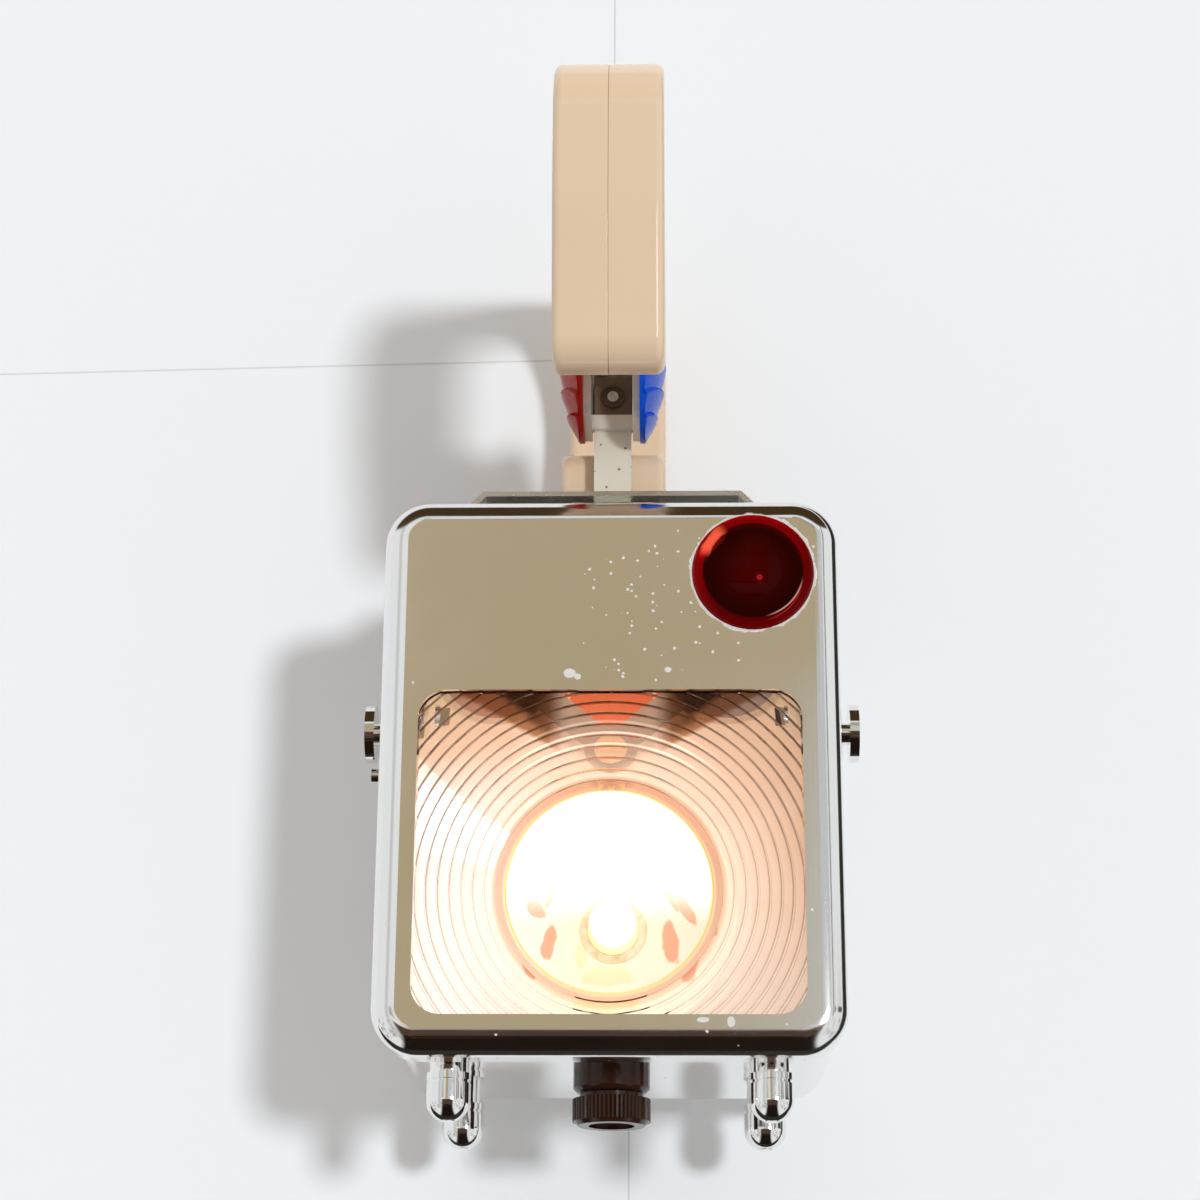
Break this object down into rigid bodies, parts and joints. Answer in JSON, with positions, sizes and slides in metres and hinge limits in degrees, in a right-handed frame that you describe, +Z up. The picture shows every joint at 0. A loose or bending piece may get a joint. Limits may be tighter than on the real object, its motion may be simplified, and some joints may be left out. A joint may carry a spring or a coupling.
{
  "type": "railway signal lamp",
  "caption": "Chromed hand signal lamp: box with stepped lens, small red lens, hook handle, colour lever with two pads, knurled switch knob and bullet feet.",
  "frame": {"origin": "on the ground under the middle of the lamp's overall box, level with the feet tips", "axes": "+X to the viewer's right, +Y from the front to the back, +Z up along the height"},
  "size_m": [0.1314, 0.1571, 0.2725],
  "materials": {
    "chrome": "polished, lightly aged",
    "steel": "bright plated steel",
    "nickel": "aged nickel",
    "brass": "satin",
    "clear_glass": "clear pressed lens",
    "red_glass": "deep red",
    "blue_glass": "deep blue",
    "rubber": "matte",
    "handle_beige": "glossy moulding",
    "pad_red": "glossy moulding",
    "pad_blue": "glossy moulding",
    "bakelite": "dark brown moulding",
    "black_paint": "matte black paint",
    "cell_jacket": "plain printed steel jacket"
  },
  "bodies": {
    "lamp": {"body_shell": "chrome", "top_plate": "steel", "top_plate_rivets": "steel", "side_stud": "steel", "foot_front_left": "chrome", "foot_front_right": "chrome", "foot_rear_left": "chrome", "foot_rear_right": "chrome", "foot_spacers": "steel", "foot_nuts": "steel", "handle_left": "handle_beige", "handle_right": "handle_beige", "handle_screws": "steel", "handle_bolts": "steel", "chassis_plate": "steel", "chassis_posts": "steel", "chassis_screws": "steel", "reflector": "nickel", "main_socket": "brass", "main_bulb_glass": "clear_glass", "main_bulb_base": "brass", "red_lamp_holder": "brass", "red_bulb_glass": "clear_glass", "red_bulb_base": "brass", "battery_tray": "steel", "battery_cells": "cell_jacket", "contact_strips": "brass", "switch_body": "bakelite", "switch_collar": "bakelite", "lever_pivot_pin": "steel", "carrier_pin": "steel", "catch_bushes": "steel", "catch_spring_left": "steel", "catch_spring_right": "steel"},
    "cover": {"front_cover": "chrome", "main_lens": "clear_glass", "lens_gasket": "rubber", "lens_retainer": "steel", "retainer_nuts": "steel", "red_lens": "red_glass", "red_lens_gasket": "rubber"},
    "lever": {"lever_stem": "nickel", "finger_bracket": "steel", "bracket_rivet": "steel", "red_pad": "pad_red", "blue_pad": "pad_blue", "pad_pin": "steel"},
    "carrier": {"filter_carrier": "black_paint", "filter_pinion": "brass", "red_filter": "red_glass", "blue_filter": "blue_glass"},
    "knob": {"switch_knob": "bakelite"},
    "button_left": {"catch_button_left": "chrome"},
    "button_right": {"catch_button_right": "chrome"}
  },
  "joints": [
    {"name": "colour_lever_swing", "type": "hinge", "parent": "lamp", "child": "lever", "pos_m": [0, -0.00695, 0.148], "axis": [0, 1, 0], "range_deg": [-14.5, 14.5]},
    {"name": "filter_turn", "type": "hinge", "parent": "lamp", "child": "carrier", "pos_m": [0, -0.0065, 0.093], "axis": [0, 1, 0], "range_deg": [-131, 131]},
    {"name": "switch_knob_turn", "type": "hinge", "parent": "lamp", "child": "knob", "pos_m": [0, 0.011, 0.006], "axis": [0, 0, 1], "range_deg": [0, 90]},
    {"name": "cover_pull", "type": "slide", "parent": "lamp", "child": "cover", "axis": [0, -1, 0], "range_m": [0, 0.1]},
    {"name": "catch_left_press", "type": "slide", "parent": "lamp", "child": "button_left", "axis": [1, 0, 0], "range_m": [0, 0.002], "stiffness_N_per_m": 600, "springref_m": -0.003, "deforming": ["catch_spring_left"]},
    {"name": "catch_right_press", "type": "slide", "parent": "lamp", "child": "button_right", "axis": [-1, 0, 0], "range_m": [0, 0.002], "stiffness_N_per_m": 600, "springref_m": -0.003, "deforming": ["catch_spring_right"]}
  ],
  "couplings": [
    {"joint": "filter_turn", "follows": "colour_lever_swing", "ratio": -9}
  ]
}
